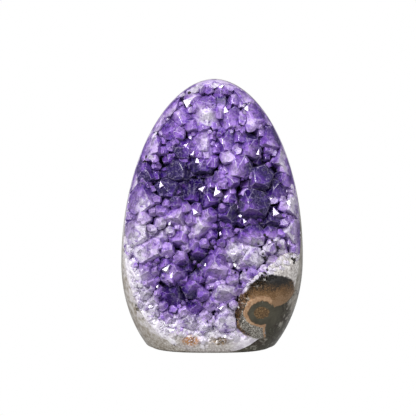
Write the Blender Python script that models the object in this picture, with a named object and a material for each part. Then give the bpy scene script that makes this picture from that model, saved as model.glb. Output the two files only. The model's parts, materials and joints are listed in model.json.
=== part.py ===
"""Amethyst geode, cut and polished to an egg that stands on its sawn base.

A rind of dark volcanic stone holds a layer of white quartz, and a bed of amethyst crystals fills
the bowl in the quartz. A banded iron agate nodule sits in the polished lower right front.
Frame: metres, +Z up, front towards -Y, origin in the middle of the sawn base.
"""

import math
import random

import bmesh
import bpy
from mathutils import Matrix, Vector

MM = 0.001
GAP = 0.3 * MM            # space left between touching pieces

# Egg envelope: two half ellipses in height, a squared ellipse in plan.
HALF_WIDTH = 40.8 * MM
HALF_DEPTH = 28.0 * MM
BELLY_HEIGHT = 38.0 * MM  # the widest section
CROWN_RISE = 82.0 * MM    # belly to crown
FOOT_DROP = 54.0 * MM     # belly to where the egg would close below the base
CROWN_POWER = 0.53
FOOT_POWER = 0.5
FRONT_SQUARENESS = 2.8
BACK_SQUARENESS = 2.2
LEAN = 0.012              # sideways drift of the crown, metres per metre
BASE_CHAMFER = 1.2 * MM
EGG_SEGMENTS = 40
EGG_RINGS = 24

# Ellipsoids and spheres that bound the layers: centre, then semi-axes or radius.
QUARTZ_BOWL_CENTRE = Vector((0.0, -45.0, 73.0)) * MM
QUARTZ_BOWL_RADII = Vector((54.0, 53.0, 83.0)) * MM
CRYSTAL_BOWL_CENTRE = Vector((0.0, -45.0, 90.0)) * MM
CRYSTAL_BOWL_RADII = Vector((80.0, 43.0, 92.5)) * MM
RIND_CORNER_CENTRE = Vector((44.0, -20.0, 9.6)) * MM
RIND_CORNER_RADIUS = 20.5 * MM
QUARTZ_KNOLLS = (
    (Vector((38.0, -16.0, 17.0)) * MM, 28.5 * MM),
    (Vector((-62.0, -18.0, 31.0)) * MM, 31.0 * MM),
)
BOWL_SEGMENTS = 36
BOWL_RINGS = 24
KNOLL_SEGMENTS = 32
KNOLL_RINGS = 20

NODULE_CENTRE = Vector((21.5, -21.0, 19.4)) * MM
NODULE_RADIUS = 9.0 * MM
NODULE_CAP_CENTRE = Vector((26.0, -19.5, 28.0)) * MM
NODULE_CAP_RADII = Vector((11.0, 9.0, 6.5)) * MM
NODULE_SEGMENTS = 28
NODULE_RINGS = 16

# Quartz crystal habit.
RHOMB_ANGLE = math.radians(51.8)   # between the crystal's axis and the normal of a tip face
CRYSTAL_FOCUS = Vector((0.0, -130.0, 62.0)) * MM   # the point that the crystals lean towards
CRYSTAL_LENGTH = 70.0 * MM         # before its root is trimmed to the bowl
CROWDING = 1.25                    # growth of the bodies into one another under the free tips
SHOULDER_DEPTH = 7.0 * MM          # how far under the tip the neighbours share out the room
NEIGHBOUR_REACH = 30.0 * MM
KNOLL_SIGHT_DEPTH = 2.0 * MM       # the point under the tip from which a knoll is faced
LEAN_SPREAD = math.radians(9.0)

# Each crystal: x and z of its tip and its radius in millimetres, its colour, and how far its tip
# stays under the egg's envelope. A tip at or over the envelope is ground flush with it.
CRYSTALS = (
    (-8.0, 115.0, 4.5, "pale", 0.0),
    (1.0, 117.0, 4.5, "pale", 0.0),
    (8.0, 115.5, 4.0, "lilac", 0.0),
    (-17.0, 105.5, 4.5, "violet", 0.5),
    (-13.0, 102.0, 4.0, "violet", 2.0),
    (-3.0, 101.5, 5.5, "pale", 1.0),
    (-22.0, 99.5, 4.0, "violet", 0.5),
    (-17.0, 95.0, 4.0, "deep", 3.0),
    (-3.0, 92.0, 5.5, "pale", 1.0),
    (-24.0, 90.0, 4.5, "lilac", 0.5),
    (-11.0, 88.0, 4.5, "deep", 4.0),
    (-27.0, 78.0, 4.5, "deep", 3.0),
    (-33.0, 75.0, 4.5, "pale", -0.5),
    (-5.0, 82.5, 4.5, "violet", 2.0),
    (-13.0, 78.5, 4.5, "deep", 4.5),
    (-27.0, 67.5, 6.5, "lilac", 0.5),
    (-18.0, 71.0, 4.5, "violet", 3.5),
    (-15.0, 62.0, 6.0, "lilac", 1.0),
    (-8.5, 70.0, 5.0, "deep", 4.5),
    (-1.0, 69.0, 5.0, "deep", 3.5),
    (-4.0, 58.5, 5.5, "lilac", 1.0),
    (-29.5, 54.5, 5.5, "pale", 0.0),
    (-13.5, 52.5, 4.5, "violet", 2.5),
    (-24.5, 46.5, 6.0, "lilac", 0.5),
    (-6.0, 47.0, 4.5, "deep", 4.5),
    (-28.0, 38.0, 5.0, "lilac", 0.5),
    (1.0, 42.0, 5.5, "lilac", -0.2),
    (-15.5, 38.5, 4.5, "pale", 1.5),
    (-29.0, 28.5, 4.5, "pale", 0.5),
    (-16.5, 28.5, 5.0, "violet", 3.0),
    (-7.0, 33.0, 4.5, "violet", 3.5),
    (-25.5, 20.5, 4.5, "pale", 0.5),
    (-18.5, 16.5, 4.5, "lilac", 1.0),
    (-11.0, 16.5, 4.0, "pale", 1.0),
    (-3.0, 14.0, 4.0, "pale", 0.5),
    (-6.5, 23.0, 4.0, "deep", 4.5),
    (3.5, 30.5, 5.0, "pale", 0.5),
    (5.0, 19.0, 5.0, "pale", 0.5),
    (9.5, 47.5, 5.0, "pale", 0.5),
    (16.0, 44.5, 4.0, "pale", 0.5),
    (16.0, 66.0, 6.0, "violet", 1.0),
    (6.5, 63.0, 5.0, "violet", 3.0),
    (16.5, 54.0, 4.0, "lilac", 2.0),
    (10.5, 80.5, 5.0, "lilac", 1.0),
    (19.0, 77.5, 4.5, "lilac", 1.5),
    (15.5, 89.0, 4.5, "violet", 1.5),
    (5.5, 91.0, 4.5, "violet", 2.5),
    (8.0, 101.0, 5.0, "lilac", 1.0),
    (17.0, 101.0, 4.5, "violet", 1.0),
    (14.0, 110.5, 4.0, "violet", 0.5),
    (24.0, 93.5, 4.5, "violet", 0.5),
    (29.5, 85.0, 4.5, "pale", 0.0),
    (31.0, 75.5, 4.0, "violet", 0.5),
    (26.0, 70.5, 4.5, "deep", 3.5),
    (34.0, 64.5, 4.5, "pale", 0.0),
    (25.5, 60.0, 4.5, "deep", 3.5),
    (33.0, 54.5, 4.5, "pale", 0.5),
)

# Colour, roughness of each material.
MATERIALS = {
    "grey_rind": ((0.085, 0.078, 0.062), 0.28),
    "white_quartz": ((0.56, 0.54, 0.55), 0.45),
    "iron_agate": ((0.105, 0.055, 0.028), 0.22),
    "amethyst_pale": ((0.57, 0.42, 0.80), 0.12),
    "amethyst_lilac": ((0.36, 0.22, 0.60), 0.12),
    "amethyst_violet": ((0.20, 0.10, 0.40), 0.12),
    "amethyst_deep": ((0.06, 0.03, 0.14), 0.12),
}


def clear_scene():
    for leftover in list(bpy.data.objects):
        bpy.data.objects.remove(leftover, do_unlink=True)


def new_collection(name):
    collection = bpy.data.collections.new(name)
    bpy.context.scene.collection.children.link(collection)
    return collection


def new_material(name, colour, roughness):
    material = bpy.data.materials.new(name)
    material.use_nodes = True
    shader = material.node_tree.nodes["Principled BSDF"]
    shader.inputs["Base Color"].default_value = (*colour, 1.0)
    shader.inputs["Roughness"].default_value = roughness
    shader.inputs["Metallic"].default_value = 0.0
    material.diffuse_color = (*colour, 1.0)
    return material


def add_object(name, bm, collection):
    """Turn a finished bmesh into an object."""
    mesh = bpy.data.meshes.new(name)
    bm.to_mesh(mesh)
    bm.free()
    added = bpy.data.objects.new(name, mesh)
    collection.objects.link(added)
    return added


def add_part(name, bm, collection, material):
    part = add_object(name, bm, collection)
    part.data.materials.append(material)
    return part


def add_cutter(name, bm, collection):
    cutter = add_object(name, bm, collection)
    cutter.hide_render = True
    cutter.display_type = "WIRE"
    return cutter


def combine(target, operand, operation):
    """Add an exact Boolean of the target with the operand."""
    modifier = target.modifiers.new(operand.name, "BOOLEAN")
    modifier.operation = operation
    modifier.object = operand
    modifier.solver = "EXACT"


def plan_scale(height):
    """How wide the egg's section is at a height, from 0 at its ends to 1 at the belly."""
    rise = height - BELLY_HEIGHT
    if rise >= 0.0:
        return max(0.0, 1.0 - (rise / CROWN_RISE) ** 2) ** CROWN_POWER
    return max(0.0, 1.0 - (rise / FOOT_DROP) ** 2) ** FOOT_POWER


def envelope_front(x, height):
    """The y of the egg's front surface at an x and a height."""
    scale = plan_scale(height)
    across = abs(x - LEAN * (height - BELLY_HEIGHT)) / (HALF_WIDTH * scale)
    depth = max(0.0, 1.0 - across ** FRONT_SQUARENESS) ** (1.0 / FRONT_SQUARENESS)
    return -HALF_DEPTH * scale * depth


def egg_point(unit):
    """Move a point of the unit sphere onto the egg."""
    rise = CROWN_RISE if unit.z >= 0.0 else FOOT_DROP
    height = BELLY_HEIGHT + rise * unit.z
    scale = plan_scale(height)
    flat = math.hypot(unit.x, unit.y)
    if flat < 1e-6:
        return Vector((LEAN * (height - BELLY_HEIGHT), 0.0, height))
    east = unit.x / flat
    north = unit.y / flat
    squareness = FRONT_SQUARENESS if north < 0.0 else BACK_SQUARENESS
    reach = (abs(east) ** squareness + abs(north) ** squareness) ** (-1.0 / squareness)
    x = HALF_WIDTH * scale * reach * east + LEAN * (height - BELLY_HEIGHT)
    return Vector((x, HALF_DEPTH * scale * reach * north, height))


def egg_solid():
    """The whole polished egg, sawn flat at z = 0, with a small chamfer round the base."""
    bm = bmesh.new()
    bmesh.ops.create_uvsphere(bm, u_segments=EGG_SEGMENTS, v_segments=EGG_RINGS, radius=1.0)
    for vertex in bm.verts:
        vertex.co = egg_point(vertex.co)
    trim(bm, Vector((0.0, 0.0, 0.0)), Vector((0.0, 0.0, -1.0)))
    base_edges = [edge for edge in bm.edges if all(abs(v.co.z) < 1e-7 for v in edge.verts)]
    bmesh.ops.bevel(bm, geom=base_edges, offset=BASE_CHAMFER, segments=1, affect="EDGES")
    return bm


def ellipsoid_solid(centre, radii, segments, rings):
    bm = bmesh.new()
    bmesh.ops.create_uvsphere(bm, u_segments=segments, v_segments=rings, radius=1.0)
    bmesh.ops.transform(bm, matrix=Matrix.Translation(centre) @ Matrix.Diagonal((*radii, 1.0)),
                        verts=bm.verts)
    return bm


def sphere_solid(centre, radius, segments, rings):
    return ellipsoid_solid(centre, Vector((radius, radius, radius)), segments, rings)


def trim(bm, point, normal):
    """Cut away what lies on the normal's side of a plane, and close the cut."""
    geometry = bm.verts[:] + bm.edges[:] + bm.faces[:]
    cut = bmesh.ops.bisect_plane(bm, geom=geometry, dist=1e-7, plane_co=point, plane_no=normal,
                                 clear_outer=True)
    edges = [item for item in cut["geom_cut"] if isinstance(item, bmesh.types.BMEdge)]
    if edges:
        bmesh.ops.contextual_create(bm, geom=edges)


class Crystal:
    """Place, lean and habit of one quartz crystal."""

    def __init__(self, x, z, radius, colour, sunk, draw):
        self.radius = radius * MM * CROWDING
        self.colour = colour
        height = z * MM
        self.tip = Vector((x * MM, envelope_front(x * MM, height) + sunk * MM, height))
        lean = Matrix.Rotation(draw.uniform(-LEAN_SPREAD, LEAN_SPREAD), 3, "X")
        lean = lean @ Matrix.Rotation(draw.uniform(-LEAN_SPREAD, LEAN_SPREAD), 3, "Z")
        self.axis = lean @ (CRYSTAL_FOCUS - self.tip).normalized()
        self.spin = draw.uniform(0.0, math.radians(60.0))
        self.widths = [draw.uniform(0.88, 1.06) for _ in range(6)]
        self.shares = [draw.uniform(0.0, 0.15) + 0.3 * (side % 2) for side in range(6)]

    def under_tip(self, depth):
        return self.tip - self.axis * depth

    def solid(self):
        """Six prism faces and two alternating sets of three tip faces."""
        bm = bmesh.new()
        bmesh.ops.create_cube(bm, size=2.0 * CRYSTAL_LENGTH)
        for side in range(6):
            azimuth = self.spin + side * math.radians(60.0)
            outward = Vector((math.cos(azimuth), math.sin(azimuth), 0.0))
            trim(bm, outward * self.radius * self.widths[side], outward)
            facing = outward * math.sin(RHOMB_ANGLE)
            facing.z = math.cos(RHOMB_ANGLE)
            trim(bm, Vector((0.0, 0.0, self.radius * self.shares[side])), facing)
        trim(bm, Vector((0.0, 0.0, -CRYSTAL_LENGTH)), Vector((0.0, 0.0, -1.0)))
        turn = self.axis.to_track_quat("Z", "Y").to_matrix().to_4x4()
        bmesh.ops.transform(bm, matrix=Matrix.Translation(self.tip) @ turn, verts=bm.verts)
        return bm


def share_room(bm, crystal, others):
    """Trim a crystal where it meets its neighbours, the larger one keeping more room."""
    here = crystal.under_tip(SHOULDER_DEPTH)
    for other in others:
        there = other.under_tip(SHOULDER_DEPTH)
        between = there - here
        if other is crystal or between.length > NEIGHBOUR_REACH:
            continue
        share = between.length * crystal.radius / (crystal.radius + other.radius)
        outward = between.normalized()
        trim(bm, here + outward * (share - 0.5 * GAP), outward)


def clear_knolls(bm, crystal):
    """Trim a crystal where it faces one of the quartz knolls that stand into the bowl."""
    sight = crystal.under_tip(KNOLL_SIGHT_DEPTH)
    for centre, radius in QUARTZ_KNOLLS:
        outward = (centre - sight).normalized()
        trim(bm, centre - outward * (radius + GAP), outward)


def build_crystals(collection, materials, egg, bed):
    """Every crystal, grown from the bed in the quartz bowl towards the open front."""
    draw = random.Random(11)
    crystals = [Crystal(*row, draw) for row in CRYSTALS]
    for number, crystal in enumerate(crystals, start=1):
        bm = crystal.solid()
        share_room(bm, crystal, crystals)
        clear_knolls(bm, crystal)
        material = materials["amethyst_" + crystal.colour]
        part = add_part(f"amethyst_crystal_{number:02d}", bm, collection, material)
        combine(part, egg, "INTERSECT")
        combine(part, bed, "INTERSECT")


def build_nodule(collection, helpers, material, egg):
    """The banded agate ball with its cap, polished flush with the egg."""
    nodule = add_part("iron_agate_nodule",
                      sphere_solid(NODULE_CENTRE, NODULE_RADIUS, NODULE_SEGMENTS, NODULE_RINGS),
                      collection, material)
    cap = add_cutter("nodule_cap", nodule_cap_solid(0.0), helpers)
    combine(nodule, cap, "UNION")
    combine(nodule, egg, "INTERSECT")


def nodule_cap_solid(clearance):
    grown = NODULE_CAP_RADII + Vector((clearance, clearance, clearance))
    return ellipsoid_solid(NODULE_CAP_CENTRE, grown, NODULE_SEGMENTS, NODULE_RINGS)


def nodule_seat(helpers):
    """The hollow that the nodule fills, one gap larger all round."""
    seat = add_cutter("nodule_seat",
                      sphere_solid(NODULE_CENTRE, NODULE_RADIUS + GAP, NODULE_SEGMENTS,
                                   NODULE_RINGS), helpers)
    combine(seat, add_cutter("nodule_seat_cap", nodule_cap_solid(GAP), helpers), "UNION")
    return seat


def build_rind(collection, helpers, material, seat):
    """The dark outer stone: the egg less the quartz bowl, whole in its lower right corner."""
    bowl = add_cutter("quartz_bowl",
                      ellipsoid_solid(QUARTZ_BOWL_CENTRE, QUARTZ_BOWL_RADII, BOWL_SEGMENTS,
                                      BOWL_RINGS), helpers)
    corner = add_cutter("rind_corner",
                        sphere_solid(RIND_CORNER_CENTRE, RIND_CORNER_RADIUS, KNOLL_SEGMENTS,
                                     KNOLL_RINGS), helpers)
    combine(bowl, corner, "DIFFERENCE")
    rind = add_part("stone_rind", egg_solid(), collection, material)
    combine(rind, bowl, "DIFFERENCE")
    combine(rind, seat, "DIFFERENCE")


def build_quartz(collection, helpers, material, seat):
    """The white layer between the rind and the crystals, with its knolls."""
    shrink = Vector((GAP, GAP, GAP))
    outline = add_cutter("quartz_outline",
                         ellipsoid_solid(QUARTZ_BOWL_CENTRE, QUARTZ_BOWL_RADII - shrink,
                                         BOWL_SEGMENTS, BOWL_RINGS), helpers)
    corner = add_cutter("corner_clearance",
                        sphere_solid(RIND_CORNER_CENTRE, RIND_CORNER_RADIUS + GAP,
                                     KNOLL_SEGMENTS, KNOLL_RINGS), helpers)
    cavity = add_cutter("crystal_cavity",
                        ellipsoid_solid(CRYSTAL_BOWL_CENTRE, CRYSTAL_BOWL_RADII, BOWL_SEGMENTS,
                                        BOWL_RINGS), helpers)
    for number, (centre, radius) in enumerate(QUARTZ_KNOLLS, start=1):
        knoll = add_cutter(f"quartz_knoll_{number}",
                           sphere_solid(centre, radius, KNOLL_SEGMENTS, KNOLL_RINGS), helpers)
        combine(cavity, knoll, "DIFFERENCE")
    quartz = add_part("quartz_layer", egg_solid(), collection, material)
    combine(quartz, outline, "INTERSECT")
    combine(quartz, corner, "DIFFERENCE")
    combine(quartz, cavity, "DIFFERENCE")
    combine(quartz, seat, "DIFFERENCE")


def main():
    clear_scene()
    parts = new_collection("amethyst_geode")
    helpers = new_collection("cutters")
    materials = {name: new_material(name, *look) for name, look in MATERIALS.items()}
    egg = add_cutter("egg_envelope", egg_solid(), helpers)
    shrink = Vector((GAP, GAP, GAP))
    bed = add_cutter("crystal_bed",
                     ellipsoid_solid(CRYSTAL_BOWL_CENTRE, CRYSTAL_BOWL_RADII - shrink,
                                     BOWL_SEGMENTS, BOWL_RINGS), helpers)
    seat = nodule_seat(helpers)
    build_rind(parts, helpers, materials["grey_rind"], seat)
    build_quartz(parts, helpers, materials["white_quartz"], seat)
    build_nodule(parts, helpers, materials["iron_agate"], egg)
    build_crystals(parts, materials, egg, bed)


main()
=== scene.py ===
"""Looks of the amethyst geode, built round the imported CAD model.

The polished stone is remade finely in three pieces (rind, quartz, agate nodule). Each CAD crystal
becomes a bevelled, ground and tinted point, and druses of small crystals fill the room between.
"""

import functools
import json
import math
import random

import bmesh
import bpy
from mathutils import Matrix, Vector, noise
from mathutils.bvhtree import BVHTree

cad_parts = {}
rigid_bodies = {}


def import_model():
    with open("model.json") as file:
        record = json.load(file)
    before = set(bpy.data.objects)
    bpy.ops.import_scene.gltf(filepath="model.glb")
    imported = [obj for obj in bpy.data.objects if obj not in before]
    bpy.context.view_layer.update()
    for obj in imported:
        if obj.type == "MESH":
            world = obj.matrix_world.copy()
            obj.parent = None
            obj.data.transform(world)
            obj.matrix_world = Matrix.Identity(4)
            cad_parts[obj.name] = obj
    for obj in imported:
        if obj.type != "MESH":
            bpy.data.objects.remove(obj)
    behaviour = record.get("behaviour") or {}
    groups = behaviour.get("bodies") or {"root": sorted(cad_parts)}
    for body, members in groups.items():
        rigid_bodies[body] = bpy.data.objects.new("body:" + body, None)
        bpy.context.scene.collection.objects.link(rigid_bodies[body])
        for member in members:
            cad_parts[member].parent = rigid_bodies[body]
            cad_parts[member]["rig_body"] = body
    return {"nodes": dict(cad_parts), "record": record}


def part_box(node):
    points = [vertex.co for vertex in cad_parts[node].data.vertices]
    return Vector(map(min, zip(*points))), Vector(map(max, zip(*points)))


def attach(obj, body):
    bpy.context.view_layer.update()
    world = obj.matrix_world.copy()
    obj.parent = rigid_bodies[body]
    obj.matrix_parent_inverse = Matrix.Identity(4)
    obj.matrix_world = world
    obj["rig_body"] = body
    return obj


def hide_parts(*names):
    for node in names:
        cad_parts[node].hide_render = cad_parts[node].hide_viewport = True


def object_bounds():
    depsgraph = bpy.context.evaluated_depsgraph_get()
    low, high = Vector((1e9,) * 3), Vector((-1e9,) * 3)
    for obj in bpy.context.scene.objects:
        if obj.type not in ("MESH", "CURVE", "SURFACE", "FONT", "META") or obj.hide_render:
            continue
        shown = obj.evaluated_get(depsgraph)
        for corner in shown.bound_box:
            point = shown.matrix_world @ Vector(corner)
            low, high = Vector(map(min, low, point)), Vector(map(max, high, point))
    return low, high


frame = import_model()
CAD_LOW, CAD_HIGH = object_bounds()

MM = 0.001

# The egg envelope, as the CAD model has it. Its size comes from the frame.
HALF_WIDTH = 0.5 * (CAD_HIGH.x - CAD_LOW.x)
HALF_DEPTH = CAD_HIGH.y
BELLY_HEIGHT = 38.0 * MM
CROWN_RISE = CAD_HIGH.z - BELLY_HEIGHT
FOOT_DROP = 54.0 * MM
CROWN_POWER = 0.53
FOOT_POWER = 0.5
FRONT_SQUARENESS = 2.8
BACK_SQUARENESS = 2.2
LEAN = 0.012
BASE_CHAMFER = 1.2 * MM
EGG_SEGMENTS = 144
EGG_RINGS = 96

# The layers' bounding ellipsoids and spheres, as the CAD model has them.
QUARTZ_BOWL_CENTRE = Vector((0.0, -45.0, 73.0)) * MM
QUARTZ_BOWL_RADII = Vector((54.0, 53.0, 83.0)) * MM
CRYSTAL_BOWL_CENTRE = Vector((0.0, -45.0, 90.0)) * MM
CRYSTAL_BOWL_RADII = Vector((80.0, 43.0, 92.5)) * MM
RIND_CORNER_CENTRE = Vector((44.0, -20.0, 9.6)) * MM
RIND_CORNER_RADIUS = 20.5 * MM
QUARTZ_KNOLLS = (
    (Vector((38.0, -16.0, 17.0)) * MM, 28.5 * MM),
    (Vector((-62.0, -18.0, 31.0)) * MM, 31.0 * MM),
)
NODULE_CENTRE = Vector((21.5, -21.0, 19.4)) * MM
NODULE_RADIUS = 9.0 * MM
NODULE_CAP_CENTRE = Vector((26.0, -19.5, 28.0)) * MM
NODULE_CAP_RADII = Vector((11.0, 9.0, 6.5)) * MM
NODULE_WOBBLE = 0.3 * MM
AGATE_EYE = (22.0 * MM, 21.0 * MM)
AGATE_REACH = 12.8 * MM
BOWL_SEGMENTS = 96
BOWL_RINGS = 64
BOWL_WOBBLE = 0.9 * MM
BOWL_WOBBLE_SIZE = 9.0 * MM

# Where the quartz meets the crystals it is rough: how far out, how deep, how far pushed in (mm).
ROUGH_REACH = 6.0
ROUGH_DEPTH = 5.0
ROUGH_PUSH = 3.6
ROUGH_EDGE = 0.9 * MM       # longest edge left where it is rough
ROUGH_FADE = 54.0 * MM      # the roughness fades out from here up
ROUGH_TOP = 62.0 * MM

# Crystal habit and the druse.
RHOMB_ANGLE = math.radians(51.8)
CRYSTAL_FOCUS = Vector((0.0, -130.0, 62.0)) * MM
EDGE_BEVEL = 0.17 * MM
GAP_GROWTH = 0.30 * MM
FACET_STEP = 1.3 * MM       # longest edge left on a crystal's faces
GRIND_BAND = 0.5 * MM       # what is nearer to the envelope than this is ground flush
CROWN_ZONE = 104.0 * MM     # above this the envelope is met from below, not from the side
SHARP_ANGLE = math.radians(13.0)
SMOOTH_ANGLE = math.radians(32.0)
LARGE_FACE = 4.0 * MM ** 2   # a face larger than this is parted where it would mirror the key
PARTING_TILT = 0.27         # how far the two halves of a parted face lean apart
POLISH_LIFT = 0.14          # how much paler a crystal is where it is ground flush
BEVELLED_ANGLE = math.radians(16.0)   # edges blunter than this stay unbevelled
MIRROR_DOT = 0.965          # how nearly a face must look along the mirror direction
# Painted light: how far the faces of one crystal are made paler or darker by their direction.
FACET_LIGHT_CONTRAST = 0.32        # how much the faces of one crystal differ in tone
# Painted shade: a crystal's colour darkens between these distances behind its tip.
SHADE_START = 0.8 * MM      # a crystal darkens from this far behind its tip
SHADE_END = 7.0 * MM
FLOOR_CLEARANCE = 0.4 * MM  # the least height of a crystal over the sawn base
FLOOR_GAP = 0.05 * MM
QUARTZ_IOR = 1.55

# How the crystals are drawn at random.
POINT_SEED = 5
DRUSE_SEED = 21
GRAIN_SEED = 33
GLINT_SEED = 9
DRUSE_LOW = 12.5 * MM
DRUSE_LEVEL = 0.50
DRUSE_LONGEST = 11.0 * MM
WIDE_RADIUS = 1.9 * MM      # crystals wider than this lean less
WIDE_LEAN = 0.17
NARROW_LEAN = 0.26
# radius (mm), tries, least depth of bed that takes one, rise above the bed (mm)
DRUSE_ROUNDS = ((3.4, 700, 4.5, 40.0), (2.6, 1400, 3.8, 40.0), (2.0, 2400, 3.2, 40.0),
                (1.5, 3600, 2.6, 3.4), (1.0, 3600, 2.2, 1.8))
GRAIN_TRIES = 5200
GRAIN_SHARE = 0.45          # the share of the tries that may grow a grain
GRAIN_TOP = 66.0 * MM
LEAST_GRAIN_DEPTH = 0.25 * MM
MOST_GRAIN_DEPTH = 16.0 * MM
GLINT_SIZE = 0.85
# The crystals that mirror the key light are tinted paler than the druse: a painted highlight on top
# of the light they mirror.
GLINT_LEVEL = 0.80

# Linear colours of amethyst, from the dark violet that the painted shade of the hollows reaches to
# the milky rim.
TONES = (
    Vector((0.022, 0.006, 0.100)),
    Vector((0.085, 0.024, 0.270)),
    Vector((0.225, 0.095, 0.490)),
    Vector((0.410, 0.245, 0.690)),
    Vector((0.560, 0.420, 0.750)),
    Vector((0.720, 0.665, 0.800)),
)
SLOT_TONES = {"amethyst_deep": 0.30, "amethyst_violet": 0.44, "amethyst_lilac": 0.56,
              "amethyst_pale": 0.72}
# Painted shade: the colour that a crystal's sides are mixed toward behind its tip, where they sink
# between neighbours.
PAINTED_SHADE_TONE = Vector((0.030, 0.008, 0.120))

# Where the bed of crystals is darker or paler than its surroundings: x, z, reach (mm), change. The
# darker places are partly the stone's own colour zoning and partly painted shade of the hollows in
# the bowl.
SHADES = (
    (-11, 80, 9, -0.34), (-20, 74, 8, -0.26), (-28, 78, 6, -0.20), (-5, 78, 6, -0.24),
    (21, 85, 5, -0.22), (27, 76, 7, -0.26), (20, 77, 7, -0.22), (24, 93, 5, -0.14),
    (-11, 101, 4, -0.16), (5, 112, 5, -0.20), (-4, 113, 4, -0.18), (-20, 94, 7, -0.18),
    (9, 62, 7, -0.26), (2, 55, 5, -0.20), (21, 60, 7, -0.24), (28, 60, 6, -0.20),
    (-13, 41, 4, -0.26), (-6, 41, 5, -0.26), (-16, 27, 6, -0.26), (-20, 32, 5, -0.20),
    (-9, 26, 5, -0.26), (-12, 34, 5, -0.12), (6, 96, 8, -0.14), (12, 70, 6, -0.12),
    (-8, 118, 7, 0.24), (6, 118, 6, 0.10), (15, 108, 6, 0.12), (-22, 105, 7, 0.20),
    (-2, 103, 5, 0.16), (-26, 96, 5, 0.22), (-31, 88, 6, 0.14), (-3, 91, 5, 0.18),
    (-20, 52, 8, 0.12), (32, 86, 5, 0.24), (35, 69, 6, 0.24), (38, 62, 5, 0.20),
    (-29, 68, 8, 0.12), (-18, 62, 6, 0.14), (-30, 54, 8, 0.20), (-4, 58, 5, 0.20),
    (9, 46, 6, 0.26), (17, 45, 6, 0.30), (2, 33, 5, 0.06), (11, 34, 5, 0.22), (-29, 22, 7, 0.42),
    (-4, 14, 6, 0.26), (5, 21, 5, 0.16), (11, 18, 6, 0.40), (9, 84, 6, 0.04), (-35, 46, 5, 0.34),
    (-32, 31, 5, 0.28), (-13, 18, 5, 0.30), (28, 50, 7, 0.30), (20, 47, 5, 0.24),
    (-12, 48, 5, 0.12),
)

# Crystals with a face turned to throw the key light at the viewer: x, z, radius (mm).
GLINTS = (
    (-10.5, 111.0, 2.9), (6.0, 107.5, 2.0), (15.0, 108.5, 1.8), (-25.0, 96.5, 2.2),
    (-11.5, 92.5, 1.2), (-8.5, 89.5, 1.4), (-6.5, 86.5, 1.7), (-22.5, 75.5, 1.6),
    (-4.5, 74.0, 1.7), (2.0, 73.5, 2.7), (20.0, 89.5, 1.5), (27.5, 63.5, 2.2),
    (-7.5, 64.5, 1.7), (-20.0, 39.5, 1.8), (-18.0, 36.0, 2.6), (-3.0, 41.0, 0.9),
    (10.0, 41.0, 1.7), (34.5, 74.0, 1.5), (34.0, 67.5, 2.0), (3.5, 54.5, 0.9),
    (4.0, 22.0, 1.0), (14.0, 60.0, 1.3), (4.0, 117.0, 1.6), (9.0, 46.5, 1.7),
    (-24.0, 31.0, 0.9), (-18.5, 59.0, 1.0), (6.0, 70.5, 1.0),
)

# The studio, in metres.
VIEW_ELEVATION = math.radians(10.0)
VIEW_TARGET = Vector((-1.8, 0.0, 62.0)) * MM
LENS = 135.0
BACKDROP_LIGHT = 0.36
BACKDROP_SEEN = 1.0
VIEWER = VIEW_TARGET + 0.70 * Vector((0.0, -math.cos(VIEW_ELEVATION), math.sin(VIEW_ELEVATION)))
KEY_LIGHT = Vector((-0.42, -0.60, 0.62))
GLINT_NORMAL = ((VIEWER - VIEW_TARGET).normalized()
                + (KEY_LIGHT - VIEW_TARGET).normalized()).normalized()
LAMP_TARGET = Vector((0.0, 0.0, 0.06))
# name, place, width and height, power (W)
LAMPS = (
    ("key", KEY_LIGHT, (0.46, 0.46), 10.8),
    ("fill", Vector((0.60, -0.50, 0.30)), (0.3, 0.6), 2.8),
    ("top", Vector((0.1, 0.25, 0.9)), (0.6, 0.4), 2.2),
)

# Dark iron-oxide grains on the crystals: x, z, radius (mm).
INCLUSIONS = (
    (-29.0, 87.0, 0.7), (-29.2, 85.2, 0.5), (10.0, 37.5, 0.6), (23.0, 44.0, 0.7),
    (29.0, 48.0, 0.8), (20.0, 50.0, 0.5), (23.0, 54.0, 0.7), (36.0, 42.0, 0.8),
    (-10.0, 114.5, 0.8), (24.0, 53.0, 0.5), (26.0, 51.5, 0.6), (22.0, 46.0, 0.5),
    (21.0, 35.6, 0.7), (21.8, 36.8, 0.6), (22.8, 37.8, 0.6), (24.0, 39.0, 0.5),
    (20.6, 34.4, 0.6), (35.2, 42.5, 0.6), (36.0, 40.8, 0.6),
)


# ---------------------------------------------------------------- egg geometry

def drift_at(height):
    """How far the egg's axis has leaned to the right at a height."""
    return LEAN * (height - BELLY_HEIGHT)


def squareness_at(y):
    """The power of the egg's section, which is squarer in front than behind."""
    return FRONT_SQUARENESS if y < 0.0 else BACK_SQUARENESS


def plan_scale(height):
    """How wide the egg's section is at a height, from 0 at its ends to 1 at the belly."""
    rise = height - BELLY_HEIGHT
    if rise >= 0.0:
        return max(0.0, 1.0 - (rise / CROWN_RISE) ** 2) ** CROWN_POWER
    return max(0.0, 1.0 - (rise / FOOT_DROP) ** 2) ** FOOT_POWER


def plan_ratio(point):
    """Where a point lies in the egg's section at its height: 1 on the surface, more outside."""
    scale = max(plan_scale(point.z), 1e-4)
    across = abs(point.x - drift_at(point.z)) / (HALF_WIDTH * scale)
    along = abs(point.y) / (HALF_DEPTH * scale)
    squareness = squareness_at(point.y)
    return (across ** squareness + along ** squareness) ** (1.0 / squareness)


def depth_under(point):
    """Rough distance of a point under the egg's envelope, negative outside it."""
    ratio = plan_ratio(point)
    reach = math.hypot(point.x - drift_at(point.z), point.y)
    return reach * (1.0 / max(ratio, 1e-3) - 1.0)


def crown_height(point):
    """Height of the egg's surface over a point near its axis."""
    squareness = squareness_at(point.y)
    ratio = ((abs(point.x - drift_at(point.z)) / HALF_WIDTH) ** squareness
             + (abs(point.y) / HALF_DEPTH) ** squareness) ** (1.0 / squareness)
    return BELLY_HEIGHT + CROWN_RISE * math.sqrt(max(0.0, 1.0 - ratio ** (1.0 / CROWN_POWER)))


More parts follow.
